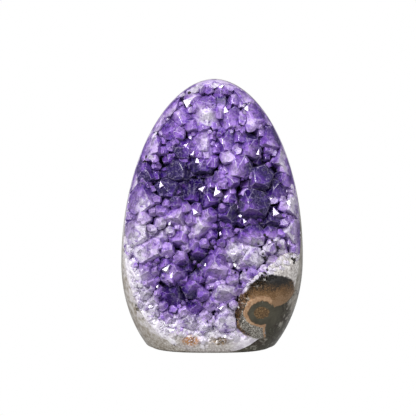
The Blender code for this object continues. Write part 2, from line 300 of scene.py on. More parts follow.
def ground(point, inset):
    """Bring a point that is at the envelope, or outside it, to an inset under the envelope."""
    if point.z > CROWN_ZONE:
        return Vector((point.x, point.y, min(point.z, crown_height(point) - inset)))
    depth = depth_under(point)
    if depth > GRIND_BAND + inset:
        return point
    drift = drift_at(point.z)
    reach = math.hypot(point.x - drift, point.y)
    shrink = (reach + depth - inset) / max(reach, 1e-6)
    return Vector((drift + (point.x - drift) * shrink, point.y * shrink, point.z))


def envelope_front(x, height):
    """The y of the egg's front surface at an x and a height."""
    scale = plan_scale(height)
    across = abs(x - drift_at(height)) / (HALF_WIDTH * scale)
    depth = max(0.0, 1.0 - across ** FRONT_SQUARENESS) ** (1.0 / FRONT_SQUARENESS)
    return -HALF_DEPTH * scale * depth


def egg_point(unit):
    """Move a point of the unit sphere onto the egg."""
    rise = CROWN_RISE if unit.z >= 0.0 else FOOT_DROP
    height = BELLY_HEIGHT + rise * unit.z
    scale = plan_scale(height)
    flat = math.hypot(unit.x, unit.y)
    if flat < 1e-6:
        return Vector((drift_at(height), 0.0, height))
    east = unit.x / flat
    north = unit.y / flat
    squareness = squareness_at(north)
    reach = (abs(east) ** squareness + abs(north) ** squareness) ** (-1.0 / squareness)
    x = HALF_WIDTH * scale * reach * east + drift_at(height)
    return Vector((x, HALF_DEPTH * scale * reach * north, height))


def ellipsoid_ratio(point, centre, radii):
    """Where a point lies in an ellipsoid: 0 in its centre, 1 on its surface."""
    return math.sqrt(sum(((point[i] - centre[i]) / radii[i]) ** 2 for i in range(3)))


def beyond_ellipsoid(point, centre, radii):
    """Rough distance of a point outside an ellipsoid, negative inside it."""
    ratio = ellipsoid_ratio(point, centre, radii)
    return (point - centre).length * (1.0 - 1.0 / max(ratio, 1e-3))


# ---------------------------------------------------------------- mesh helpers

def trim(bm, point, normal):
    """Cut away what lies on the normal's side of a plane, and close the cut."""
    geometry = bm.verts[:] + bm.edges[:] + bm.faces[:]
    cut = bmesh.ops.bisect_plane(bm, geom=geometry, dist=1e-7, plane_co=point, plane_no=normal,
                                 clear_outer=True)
    edges = [item for item in cut["geom_cut"] if isinstance(item, bmesh.types.BMEdge)]
    if edges:
        bmesh.ops.contextual_create(bm, geom=edges)


def new_piece(name, bm, crisp=False):
    """Turn a finished bmesh into an object, smooth but for its sharp edges."""
    mesh = bpy.data.meshes.new(name)
    bm.to_mesh(mesh)
    bm.free()
    mesh.shade_smooth()
    mesh.set_sharp_from_angle(angle=SHARP_ANGLE if crisp else SMOOTH_ANGLE)
    piece = bpy.data.objects.new(name, mesh)
    bpy.context.scene.collection.objects.link(piece)
    return piece


def egg_solid():
    """The whole egg, sawn flat at z = 0, with a small chamfer round the base."""
    bm = bmesh.new()
    bmesh.ops.create_uvsphere(bm, u_segments=EGG_SEGMENTS, v_segments=EGG_RINGS, radius=1.0)
    for vertex in bm.verts:
        vertex.co = egg_point(vertex.co)
    trim(bm, Vector((0.0, 0.0, 0.0)), Vector((0.0, 0.0, -1.0)))
    base_edges = [edge for edge in bm.edges if all(abs(v.co.z) < 1e-7 for v in edge.verts)]
    bmesh.ops.bevel(bm, geom=base_edges, offset=BASE_CHAMFER, segments=2, affect="EDGES")
    return bm


def ellipsoid_solid(centre, radii, wobble=BOWL_WOBBLE):
    """An ellipsoid whose surface rolls a little, like a natural boundary."""
    bm = bmesh.new()
    bmesh.ops.create_uvsphere(bm, u_segments=BOWL_SEGMENTS, v_segments=BOWL_RINGS, radius=1.0)
    for vertex in bm.verts:
        outward = vertex.co.copy()
        point = centre + Vector(a * b for a, b in zip(outward, radii))
        roll = noise.noise(point / BOWL_WOBBLE_SIZE)
        roll += 0.5 * noise.noise(point / (0.4 * BOWL_WOBBLE_SIZE))
        vertex.co = point + outward * (wobble * roll)
    return bm


def sphere_solid(centre, radius, wobble=BOWL_WOBBLE):
    return ellipsoid_solid(centre, Vector((radius, radius, radius)), wobble)


def cut_piece(name, bm, *steps):
    """Run exact Booleans on a solid: each step is an operation and its operand object."""
    piece = new_piece(name, bm)
    for operation, operand in steps:
        modifier = piece.modifiers.new("cut", "BOOLEAN")
        modifier.operation = operation
        modifier.object = operand
        modifier.solver = "EXACT"
    graph = bpy.context.evaluated_depsgraph_get()
    mesh = bpy.data.meshes.new_from_object(piece.evaluated_get(graph))
    piece.modifiers.clear()
    piece.data = mesh
    mesh.materials.clear()
    mesh.set_sharp_from_angle(angle=SMOOTH_ANGLE)
    return piece


def wear(piece, material, slot, *nodes):
    """Give a piece its material and its place in the frame, and hide the CAD nodes that it stands
    for.
    """
    piece.data.materials.append(material)
    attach(piece, "root")
    if nodes:
        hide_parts(*nodes)


# ---------------------------------------------------------------- materials

class Nodes:
    """A short way to write a material's node tree. Its lengths are in millimetres."""

    def __init__(self, name):
        self.material = bpy.data.materials.new(name)
        self.material.use_nodes = True
        self.tree = self.material.node_tree
        self.shader = self.tree.nodes["Principled BSDF"]
        self.place = self.add("ShaderNodeTexCoord", output="Object")

    def add(self, kind, sockets=(), output=0, **settings):
        """Add a node, give it its settings and inputs, and return one of its outputs."""
        node = self.tree.nodes.new(kind)
        for name, value in settings.items():
            setattr(node, name, value)
        for name, value in dict(sockets).items():
            self.put(node.inputs[name], value)
        return node.outputs[output]

    def put(self, socket, value):
        """Set a socket to a constant, or link it to another socket."""
        if isinstance(value, bpy.types.NodeSocket):
            self.tree.links.new(value, socket)
        else:
            socket.default_value = value

    def surface(self, colour, roughness, **constants):
        """Give the shader its colour, its roughness and its constant values."""
        self.put(self.shader.inputs["Base Color"], colour)
        self.put(self.shader.inputs["Roughness"], roughness)
        for name, value in constants.items():
            self.shader.inputs[name.replace("_", " ")].default_value = value

    def noise(self, size, detail=4.0, roughness=0.55, where=None, distortion=0.0):
        return self.add("ShaderNodeTexNoise",
                        {"Vector": where or self.place, "Scale": 1.0 / (size * MM),
                         "Detail": detail, "Roughness": roughness,
                         "Distortion": distortion}, "Fac")

    def cells(self, size, where=None, feature="F1", output="Distance"):
        return self.add("ShaderNodeTexVoronoi",
                        {"Vector": where or self.place, "Scale": 1.0 / (size * MM)}, output,
                        feature=feature)

    def patches(self, size, where):
        """A random value for each cell."""
        colour = self.cells(size, where, output="Color")
        return self.add("ShaderNodeSeparateColor", {"Color": colour}, "Red")

    def ramp(self, value, *stops):
        """Map a value to colours at stops, each a position and a linear colour."""
        colour = self.add("ShaderNodeValToRGB", {"Fac": value}, "Color")
        stored = colour.node.color_ramp.elements
        while len(stored) < len(stops):
            stored.new(0.5)
        for element, (position, shade) in zip(stored, stops):
            element.position = position
            element.color = (*shade, 1.0)
        return colour

    def span(self, value, low, high, to_low=0.0, to_high=1.0):
        """Map a range smoothly onto another, clamped."""
        return self.add("ShaderNodeMapRange",
                        {"Value": value, "From Min": low, "From Max": high, "To Min": to_low,
                         "To Max": to_high}, "Result", interpolation_type="SMOOTHSTEP")

    def math(self, operation, first, second=0.0):
        return self.add("ShaderNodeMath", {0: first, 1: second}, operation=operation)

    def vector(self, operation, first, sockets, output=0):
        return self.add("ShaderNodeVectorMath", {0: first, **sockets}, output,
                        operation=operation)

    def jitter(self, value, by, amount):
        """A value pushed up or down by a noise, at most by an amount."""
        return self.math("ADD", value, self.span(by, 0.3, 0.7, -amount, amount))

    def mix(self, share, first, second, blend="MIX"):
        first, second = ((*value, 1.0) if isinstance(value, tuple) else value
                         for value in (first, second))
        return self.add("ShaderNodeMix", {"Factor": share, 6: first, 7: second}, 2,
                        data_type="RGBA", blend_type=blend)

    def product(self, *values):
        total = values[0]
        for value in values[1:]:
            total = self.math("MULTIPLY", total, value)
        return total

    def grey(self, value):
        return self.add("ShaderNodeCombineColor", {"Red": value, "Green": value, "Blue": value})

    def axes(self):
        """Object coordinates in millimetres."""
        scaled = self.vector("SCALE", self.place, {"Scale": 1.0 / MM})
        return self.add("ShaderNodeSeparateXYZ", {0: scaled}).node.outputs[:]

    def reach(self, x, z, x0, z0, width=1.0, height=1.0):
        """Distance from a place in the front plane, in shares of a width and a height."""
        across = self.math("DIVIDE", self.math("SUBTRACT", x, x0), width)
        along = self.math("DIVIDE", self.math("SUBTRACT", z, z0), height)
        offset = self.add("ShaderNodeCombineXYZ", {"X": across, "Y": along})
        return self.vector("LENGTH", offset, {}, "Value")

    def warped(self, size, amount):
        """Object coordinates pushed about by noise, so that patterns in them wander."""
        colour = self.add("ShaderNodeTexNoise",
                          {"Vector": self.place, "Scale": 1.0 / (size * MM)}, "Color")
        centred = self.vector("SUBTRACT", colour, {1: (0.5, 0.5, 0.5)})
        push = self.vector("SCALE", centred, {"Scale": 2.0 * amount * MM})
        return self.vector("ADD", self.place, {1: push})

    def stretched(self, x, y, z):
        """Object coordinates scaled along each axis."""
        return self.vector("MULTIPLY", self.place, {1: (x, y, z)})

    def attribute(self, name, output="Color"):
        return self.add("ShaderNodeAttribute", (), output, attribute_name=name)

    def bump(self, height, distance, strength=1.0):
        """Shade the surface as if a height stood on it, at a distance (mm) for a height of 1."""
        normal = self.add("ShaderNodeBump",
                          {"Height": height, "Distance": distance * MM,
                           "Strength": strength})
        self.tree.links.new(normal, self.shader.inputs["Normal"])


def amethyst_material():
    """Violet quartz: tinted by zone, with painted highlights on its edges, mottled and veiled.

    It is dull where it is ground flush and where it turns away from the view.
    """
    nodes = Nodes("amethyst")
    tint = nodes.attribute("tint")
    edge = nodes.attribute("edge", "Fac")
    patches = nodes.patches(2.0, nodes.warped(2.4, 1.2))
    facets = nodes.math("ADD", nodes.span(patches, 0.0, 1.0, 0.40, 1.05),
                        nodes.span(nodes.noise(0.8, 4.0, 0.7), 0.3, 0.7, 0.0, 0.45))
    body = nodes.mix(1.0, tint, nodes.grey(facets), "MULTIPLY")
    veils = nodes.span(nodes.noise(1.9, 6.0, 0.65, distortion=0.8), 0.52, 0.74)
    body = nodes.mix(nodes.product(veils, 0.42), body, (0.72, 0.63, 0.85))
    dusk = nodes.span(nodes.noise(3.4, 5.0, 0.6, distortion=0.4), 0.34, 0.52, 0.80, 0.0)
    body = nodes.mix(dusk, body, nodes.mix(1.0, body, (0.40, 0.24, 0.68), "MULTIPLY"))
    curl = nodes.math("SUBTRACT", nodes.noise(4.5, 2.0, 0.5, distortion=1.6), 0.5)
    wisps = nodes.span(nodes.math("ABSOLUTE", curl), 0.026, 0.006, 0.0, 0.40)
    body = nodes.mix(wisps, body, nodes.mix(0.45, tint, (0.72, 0.64, 0.88)))
    cracks = nodes.span(nodes.math("ABSOLUTE", nodes.math("ADD", curl, 0.10)), 0.020, 0.005)
    body = nodes.mix(cracks, body, nodes.mix(1.0, body, (0.38, 0.26, 0.56), "MULTIPLY"))
    # Painted highlight: the bevelled edges are made paler in patches, as if they caught the light.
    edge_highlight = nodes.span(nodes.noise(2.6, 4.0, 0.6), 0.40, 0.64, 0.04, 0.42)
    body = nodes.mix(nodes.product(edge, edge_highlight), body, (0.78, 0.68, 0.90))
    polish = nodes.attribute("polish", "Fac")
    frost = nodes.span(nodes.noise(1.6, 5.0, 0.6), 0.3, 0.75, 0.07, 0.26)
    slant = nodes.add("ShaderNodeLayerWeight", output="Facing")
    dull = nodes.math("MAXIMUM", polish, nodes.span(slant, 0.28, 0.46))
    nodes.surface(body, nodes.math("ADD", frost, nodes.product(dull, 0.45)), IOR=QUARTZ_IOR,
                  Specular_IOR_Level=0.35, Transmission_Weight=0.30, Coat_Roughness=0.05)
    nodes.put(nodes.shader.inputs["Coat Weight"], nodes.span(dull, 0.0, 1.0, 0.45, 0.0))
    ripples = nodes.math("ADD", nodes.noise(0.9, 3.0, 0.5), nodes.noise(3.0, 2.0, 0.5))
    nodes.bump(ripples, 0.12, 0.15)
    return nodes.material


def grain_material():
    """Clear to milky quartz grains, as tinted as the crystals beside them."""
    nodes = Nodes("quartz_grain")
    tint = nodes.attribute("tint")
    cloud = nodes.span(nodes.noise(1.2, 4.0, 0.65), 0.36, 0.62, 0.0, 0.55)
    body = nodes.mix(cloud, tint, (0.88, 0.86, 0.91))
    dusk = nodes.span(nodes.noise(2.2, 4.0, 0.6), 0.34, 0.48, 0.32, 0.0)
    body = nodes.mix(dusk, body, (0.26, 0.22, 0.26))
    body = paint_corner(nodes, base_stain(nodes, body))
    nodes.surface(body, nodes.span(cloud, 0.0, 0.6, 0.08, 0.30), IOR=QUARTZ_IOR,
                  Transmission_Weight=0.25)
    nodes.bump(nodes.noise(0.7, 3.0, 0.5), 0.06, 0.3)
    return nodes.material


def mosaic(nodes):
    """Colour of crystals ground flush with the polish: pale and violet patches in a fine net."""
    where = nodes.warped(3.5, 2.0)
    mottle = nodes.math("ADD", nodes.product(nodes.patches(2.8, where), 0.6),
                        nodes.product(nodes.noise(1.6, 5.0, 0.65), 0.6))
    colour = nodes.ramp(mottle, (0.24, (0.09, 0.035, 0.24)), (0.44, (0.27, 0.155, 0.50)),
                        (0.60, (0.46, 0.34, 0.68)), (0.78, (0.68, 0.60, 0.80)))
    seam = nodes.span(nodes.cells(2.8, where, "DISTANCE_TO_EDGE"), 0.02, 0.07, 0.45, 0.0)
    return nodes.mix(seam, colour, (0.62, 0.54, 0.74))


def paint_corner(nodes, body):
    """The agate eye, its tan ring, the brown cap and the speckled fringe, over a body colour.

    The figure runs through rind, quartz and nodule alike, so all three materials share it.
    Lengths are in millimetres in the plane of the polished front.
    """
    x, y, z = nodes.axes()
    coarse = nodes.noise(3.6, 3.0, 0.5)
    x = nodes.jitter(x, coarse, 0.4)
    z = nodes.jitter(z, nodes.noise(2.6, 3.0, 0.6), 0.35)
    grain = nodes.noise(0.62, 4.0, 0.7)
    front = nodes.span(y, -8.0, -11.0)
    centre = (21.5, 19.6)
    radius = nodes.reach(x, z, *centre)

    halo = nodes.reach(x, z, 21.3, 19.0, 11.2, 12.6)
    granular = nodes.ramp(grain, (0.38, (0.055, 0.045, 0.034)), (0.47, (0.13, 0.12, 0.10)),
                          (0.56, (0.30, 0.28, 0.25)), (0.64, (0.56, 0.54, 0.50)))
    left = nodes.span(x, 24.2, 22.8)
    body = nodes.mix(nodes.product(nodes.span(halo, 1.04, 0.90), left, front), body, granular)

    fringe_colour = nodes.ramp(grain, (0.40, (0.010, 0.007, 0.005)), (0.50, (0.065, 0.034, 0.013)),
                               (0.57, (0.20, 0.095, 0.035)), (0.66, (0.30, 0.24, 0.18)))
    inner = nodes.span(z, 12.0, 26.0, 0.88, 0.70)
    fringe = nodes.product(nodes.span(nodes.math("SUBTRACT", halo, inner), -0.04, 0.05),
                           nodes.span(halo, 1.06, 0.99), nodes.span(x, 19.0, 15.0),
                           nodes.span(z, 7.0, 10.0), front)
    body = nodes.mix(fringe, body, fringe_colour)

    cap = nodes.reach(x, z, 26.0, 29.2, 10.6, 7.4)
    rise = nodes.jitter(nodes.span(z, 22.5, 35.5), coarse, 0.10)
    rise = nodes.math("ADD", rise, nodes.span(grain, 0.38, 0.62, 0.20, -0.20))
    cap_colour = nodes.ramp(rise, (0.10, (0.235, 0.140, 0.074)), (0.28, (0.165, 0.088, 0.034)),
                            (0.50, (0.120, 0.060, 0.020)), (0.72, (0.060, 0.032, 0.012)),
                            (0.92, (0.014, 0.010, 0.007)))
    soot = nodes.math("ADD", nodes.reach(x, z, 29.5, 35.6, 6.2, 3.6),
                      nodes.span(grain, 0.35, 0.65, 0.35, -0.35))
    cap_colour = nodes.mix(nodes.span(soot, 1.05, 0.75), cap_colour, (0.006, 0.005, 0.005))
    speckle = nodes.span(grain, 0.61, 0.68, 0.0, 0.5)
    cap_colour = nodes.mix(speckle, cap_colour, (0.42, 0.32, 0.22))
    body = nodes.mix(nodes.product(nodes.span(cap, 1.06, 0.96), front), body, cap_colour)

    disc = nodes.product(nodes.span(radius, 6.3, 5.9), front)
    body = nodes.mix(disc, body, rock_colour(nodes))
    wisps = nodes.span(nodes.noise(0.9, 3.0, 0.5, where=nodes.stretched(1.0, 1.0, 0.25)),
                       0.52, 0.60, 0.0, 0.45)
    wisps = nodes.product(wisps, nodes.span(z, 21.8, 23.5), nodes.span(x, 22.6, 21.6), disc)
    body = nodes.mix(wisps, body, (0.36, 0.35, 0.31))

    tan = nodes.ramp(nodes.noise(1.3, 4.0, 0.65), (0.32, (0.235, 0.125, 0.062)),
                     (0.52, (0.36, 0.215, 0.120)), (0.68, (0.47, 0.32, 0.20)))
    side = nodes.math("ADD", nodes.product(nodes.math("SUBTRACT", x, centre[0]), 0.94),
                      nodes.product(nodes.math("SUBTRACT", z, centre[1]), -0.34))
    thick = nodes.span(z, 14.0, 20.0, 6.9, 7.9)
    arc = nodes.product(nodes.span(radius, 5.5, 5.8),
                        nodes.span(nodes.math("SUBTRACT", radius, thick), 0.15, -0.25),
                        nodes.span(side, 3.4, 2.8))
    sill = nodes.product(nodes.span(z, 12.3, 12.6), nodes.span(z, 14.0, 13.7),
                         nodes.span(x, 20.4, 20.8), nodes.span(x, 23.6, 23.3))
    leg = nodes.product(nodes.span(x, 22.4, 22.7), nodes.span(x, 23.6, 23.3),
                        nodes.span(z, 6.0, 8.0), nodes.span(z, 14.0, 13.7))
    ring = nodes.math("MAXIMUM", arc, nodes.math("MAXIMUM", sill, leg))
    body = nodes.mix(nodes.product(ring, front), body, tan)
    rim = nodes.product(nodes.span(nodes.math("ABSOLUTE", nodes.math("SUBTRACT", radius, 5.6)),
                                   0.35, 0.10), nodes.span(side, 3.4, 2.8), front)
    body = nodes.mix(nodes.product(rim, 0.6), body, (0.080, 0.045, 0.020))

    core_colour = nodes.ramp(grain, (0.38, (0.035, 0.019, 0.008)), (0.50, (0.115, 0.062, 0.022)),
                             (0.60, (0.19, 0.115, 0.048)), (0.70, (0.34, 0.24, 0.13)))
    core = nodes.product(nodes.span(nodes.reach(x, z, 21.6, 19.6, 3.4, 2.9), 1.06, 0.92), front)
    return nodes.mix(core, body, core_colour)


def base_stain(nodes, body):
    """Grey-tan speckle just above the base, from the left to the middle."""
    x, y, z = nodes.axes()
    front = nodes.span(y, -2.0, -6.0)
    low = nodes.jitter(z, nodes.noise(5.0, 4.0, 0.6), 4.5)
    share = nodes.product(nodes.span(low, 9.0, 4.0), nodes.span(x, 14.0, 6.0, 0.0, 0.75))
    stained = nodes.ramp(nodes.noise(0.9, 5.0, 0.72), (0.36, (0.13, 0.10, 0.07)),
                         (0.48, (0.31, 0.27, 0.22)), (0.60, (0.56, 0.53, 0.49)),
                         (0.70, (0.80, 0.78, 0.76)))
    body = nodes.mix(share, body, stained)
    fleck = nodes.noise(0.8, 5.0, 0.75)
    rust = nodes.product(nodes.span(nodes.reach(x, z, -9.5, 6.4, 4.8, 3.2), 1.1, 0.5), front,
                         nodes.span(fleck, 0.44, 0.52))
    body = nodes.mix(rust, body, (0.37, 0.17, 0.055))
    umber = nodes.product(nodes.span(nodes.reach(x, z, 3.5, 6.2, 3.8, 2.2), 1.1, 0.6), front,
                          nodes.span(fleck, 0.44, 0.55))
    return nodes.mix(umber, body, (0.20, 0.135, 0.075))


def rock_colour(nodes):
    """Grey-green volcanic rock."""
    clouds = nodes.noise(7.0, 6.0, 0.62, distortion=0.5)
    return nodes.ramp(clouds, (0.30, (0.031, 0.028, 0.016)), (0.50, (0.049, 0.044, 0.028)),
                      (0.70, (0.086, 0.079, 0.054)))


def quartz_material():
    """White sugary quartz, stained near the base, violet where the crystals root in it."""
    nodes = Nodes("white_quartz")
    fine = nodes.noise(0.9, 5.0, 0.75)
    clouds = nodes.noise(6.0, 5.0, 0.6)
    grains = nodes.patches(1.7, nodes.warped(1.6, 0.8))
    sugar = nodes.math("ADD", nodes.product(fine, 0.45), nodes.product(grains, 0.20))
    sugar = nodes.math("ADD", sugar, nodes.product(clouds, 0.35))
    body = nodes.ramp(sugar, (0.34, (0.46, 0.42, 0.47)), (0.46, (0.68, 0.63, 0.72)),
                      (0.56, (0.84, 0.81, 0.87)), (0.70, (0.95, 0.94, 0.97)))
    x, _, z = nodes.axes()
    low = nodes.jitter(z, nodes.noise(7.0, 4.0, 0.6), 3.5)
    ragged = nodes.jitter(nodes.attribute("rim", "Fac"), nodes.noise(3.0, 5.0, 0.65), 3.0)
    rooted = nodes.span(ragged, 3.4, 0.4, 0.0, 0.75)
    violet = nodes.math("MAXIMUM", nodes.attribute("violet", "Fac"), rooted)
    body = nodes.mix(violet, body, mosaic(nodes))
    body = base_stain(nodes, body)
    knoll = nodes.product(nodes.span(x, 12.0, 19.0), nodes.span(low, 25.0, 30.0),
                          nodes.span(low, 53.0, 44.0))
    pepper = nodes.ramp(nodes.noise(1.1, 5.0, 0.72), (0.36, (0.10, 0.085, 0.070)),
                        (0.45, (0.34, 0.31, 0.27)), (0.55, (0.60, 0.57, 0.53)),
                        (0.66, (0.84, 0.82, 0.80)))
    body = nodes.mix(nodes.product(knoll, 0.80), body, pepper)
    # The tint darkens the quartz deep in the bowl, partly painted shade of the recess under the
    # crystals.
    body = nodes.mix(1.0, body, nodes.attribute("tint"), "MULTIPLY")
    body = paint_corner(nodes, body)
    nodes.surface(body, nodes.span(sugar, 0.3, 0.7, 0.50, 0.22), Coat_Weight=0.3,
                  Coat_Roughness=0.12)
    nodes.bump(sugar, 0.15, 0.5)
    return nodes.material


def rind_material():
    """Polished volcanic rock: dark at the lower right, pale and brown-mottled at the left."""
    nodes = Nodes("grey_rind")
    x, y, z = nodes.axes()
    clouds = nodes.noise(9.0, 6.0, 0.62, distortion=0.5)
    facing = nodes.span(nodes.jitter(y, clouds, 5.0), 14.0, -2.0, 0.25, 1.0)
    streaks = nodes.noise(5.0, 5.0, 0.6, where=nodes.stretched(1.0, 1.0, 0.35))
    body = rock_colour(nodes)
    flakes = nodes.noise(3.0, 5.0, 0.66, where=nodes.stretched(1.0, 1.0, 0.6))
    body = nodes.mix(nodes.span(flakes, 0.52, 0.58, 0.0, 0.80), body, (0.25, 0.235, 0.20))
    rust = nodes.span(nodes.noise(4.5, 5.0, 0.65, distortion=0.7), 0.53, 0.60, 0.0, 0.85)
    body = nodes.mix(rust, body, (0.028, 0.017, 0.009))
    beige = nodes.ramp(nodes.noise(4.0, 5.0, 0.65), (0.34, (0.150, 0.130, 0.100)),
                       (0.50, (0.275, 0.250, 0.215)), (0.66, (0.42, 0.39, 0.36)))
    high = nodes.jitter(z, clouds, 6.0)
    body = nodes.mix(nodes.product(nodes.span(high, 26.0, 42.0), facing), body, beige)
    edge = nodes.jitter(x, streaks, 2.5)
    band = nodes.product(nodes.span(edge, 33.5, 36.0), nodes.span(z, 12.0, 22.0), facing)
    body = nodes.mix(band, body, beige)
    left = nodes.jitter(x, clouds, 5.0)
    pale = nodes.ramp(nodes.noise(3.2, 5.0, 0.65), (0.34, (0.20, 0.155, 0.11)),
                      (0.48, (0.38, 0.34, 0.30)), (0.63, (0.62, 0.59, 0.57)))
    body = nodes.mix(nodes.product(nodes.span(left, 6.0, -14.0), facing), body, pale)
    skin = nodes.jitter(nodes.attribute("rim", "Fac"), nodes.noise(3.5, 5.0, 0.65), 4.0)
    chalk = nodes.ramp(nodes.noise(0.9, 5.0, 0.75), (0.34, (0.40, 0.36, 0.36)),
                       (0.50, (0.66, 0.62, 0.66)), (0.66, (0.86, 0.84, 0.88)))
    chalky = nodes.product(nodes.span(skin, 4.0, 0.0), nodes.span(x, 10.0, -6.0),
                           nodes.span(z, 1.5, 5.0, 0.3, 1.0))
    body = base_stain(nodes, nodes.mix(nodes.product(chalky, 0.85), body, chalk))
    vein_net = nodes.cells(8.0, nodes.warped(5.0, 5.0), "DISTANCE_TO_EDGE")
    corner = nodes.product(nodes.span(x, 22.0, 27.0), nodes.span(z, 36.0, 28.0), facing)
    veined = nodes.math("MAXIMUM", corner, nodes.span(nodes.noise(10.0, 3.0, 0.5), 0.46, 0.58))
    vein = nodes.product(nodes.span(vein_net, 0.055, 0.015), veined)
    body = nodes.mix(nodes.product(vein, 0.85), body, (0.020, 0.014, 0.009))
    bubble = nodes.span(nodes.cells(4.5, nodes.warped(3.0, 1.5)), 0.22, 0.13)
    body = nodes.mix(nodes.product(bubble, 0.55), body, (0.42, 0.39, 0.34))
    body = paint_corner(nodes, body)
    nodes.surface(body, nodes.span(clouds, 0.3, 0.7, 0.34, 0.20), Coat_Weight=0.25,
                  Coat_Roughness=0.10)
    nodes.bump(nodes.noise(1.2, 4.0, 0.6), 0.04, 0.4)
    return nodes.material


def agate_material():
    """Iron-stained agate, with the same figure as the stone round it."""
    nodes = Nodes("iron_agate")
    body = nodes.ramp(nodes.noise(0.9, 4.0, 0.7), (0.34, (0.10, 0.075, 0.05)),
                      (0.48, (0.28, 0.23, 0.18)), (0.64, (0.56, 0.51, 0.46)))
    x, _, z = nodes.axes()
    rock = nodes.product(nodes.span(x, 22.4, 23.4), nodes.span(z, 26.0, 24.0))
    body = nodes.mix(rock, body, rock_colour(nodes))
    nodes.surface(paint_corner(nodes, body), 0.24, Coat_Weight=0.4, Coat_Roughness=0.10)
    nodes.bump(nodes.noise(0.9, 4.0, 0.6), 0.05, 0.4)
    return nodes.material


def oxide_material():
    """Black iron oxide with a brown bloom."""
    nodes = Nodes("iron_oxide")
    body = nodes.ramp(nodes.noise(0.5, 3.0, 0.6), (0.45, (0.004, 0.003, 0.003)),
                      (0.75, (0.030, 0.018, 0.010)))
    nodes.surface(body, 0.45)
    nodes.bump(nodes.noise(0.4, 3.0, 0.6), 0.06, 0.6)
    return nodes.material


# ---------------------------------------------------------------- the polished stone

def smooth(value, low, high):
    """Smooth step from 0 at low to 1 at high."""
    share = min(1.0, max(0.0, (value - low) / (high - low)))
    return share * share * (3.0 - 2.0 * share)


def set_tint(piece, colour_at):
    """Store a colour for each vertex."""
    layer = piece.data.attributes.new("tint", "FLOAT_COLOR", "POINT")
    colours = []
    for vertex in piece.data.vertices:
        colours.extend((*colour_at(vertex.co), 1.0))
    layer.data.foreach_set("color", colours)


def set_value(piece, name, value_at):
    """Store a number for each vertex."""
    layer = piece.data.attributes.new(name, "FLOAT", "POINT")
    layer.data.foreach_set("value", [value_at(vertex.co) for vertex in piece.data.vertices])


def quartz_tint(point):
    """White at the face, greyer towards the top, and dark violet deep under the envelope: partly
    the amethyst rooted there, partly painted shade of the recess under the crystals.
    """
    face = Vector((1.0, 1.0, 1.0)).lerp(Vector((0.62, 0.57, 0.66)),
                                        smooth(point.z, 84.0 * MM, 112.0 * MM))
    return face.lerp(Vector((0.10, 0.05, 0.26)), smooth(depth_under(point), 2.0 * MM, 8.0 * MM))


def rim_distance(point):
    """Rough distance (mm) from the edge of the bowl of crystals, out over the quartz."""
    beyond = beyond_ellipsoid(point, CRYSTAL_BOWL_CENTRE, CRYSTAL_BOWL_RADII)
    within = [radius - (point - centre).length for centre, radius in QUARTZ_KNOLLS]
    return max(beyond, *within) / MM


def bowl_distance(point):
    """Rough distance (mm) from the edge of the quartz, out over the rind."""
    return beyond_ellipsoid(point, QUARTZ_BOWL_CENTRE, QUARTZ_BOWL_RADII) / MM


def quartz_violet(point):
    """How far the quartz rim is amethyst: fully above the shoulders of the egg."""
    left = smooth(point.z, 46.0 * MM, 62.0 * MM)
    right = smooth(point.z, 58.0 * MM, 70.0 * MM)
    share = smooth(point.x, -10.0 * MM, 10.0 * MM)
    return left * (1.0 - share) + right * share


def erode_rim(piece):
    """Roughen the polished face of the quartz where it meets the bowl of crystals."""
    bm = bmesh.new()
    bm.from_mesh(piece.data)

    def weathered(point):
        return (rim_distance(point) < ROUGH_REACH and depth_under(point) < ROUGH_DEPTH * MM
                and point.z < ROUGH_TOP and point.y < 0.0)

    for _ in range(3):
        bmesh.ops.triangulate(bm, faces=[face for face in bm.faces if len(face.verts) > 3
                                         and any(weathered(v.co) for v in face.verts)])
        long_edges = [edge for edge in bm.edges if edge.calc_length() > ROUGH_EDGE
                      and all(weathered(v.co) for v in edge.verts)]
        bmesh.ops.subdivide_edges(bm, edges=long_edges, cuts=1)
    bmesh.ops.triangulate(bm, faces=[face for face in bm.faces if len(face.verts) > 4])
    for vertex in bm.verts:
        point = vertex.co
        if not weathered(point):
            continue
        fade = 1.0 - smooth(rim_distance(point), 0.0, ROUGH_REACH)
        fade *= 1.0 - smooth(depth_under(point), 0.0, ROUGH_DEPTH * MM)
        fade *= smooth(point.z, 1.5 * MM, 6.0 * MM) * (1.0 - smooth(point.z, ROUGH_FADE, ROUGH_TOP))
        lump = 0.5 + 0.6 * noise.noise(point / (5.0 * MM)) + 0.3 * noise.noise(point / (1.8 * MM))
        point.y += ROUGH_PUSH * MM * fade * max(0.0, lump)
    bm.to_mesh(piece.data)
    bm.free()


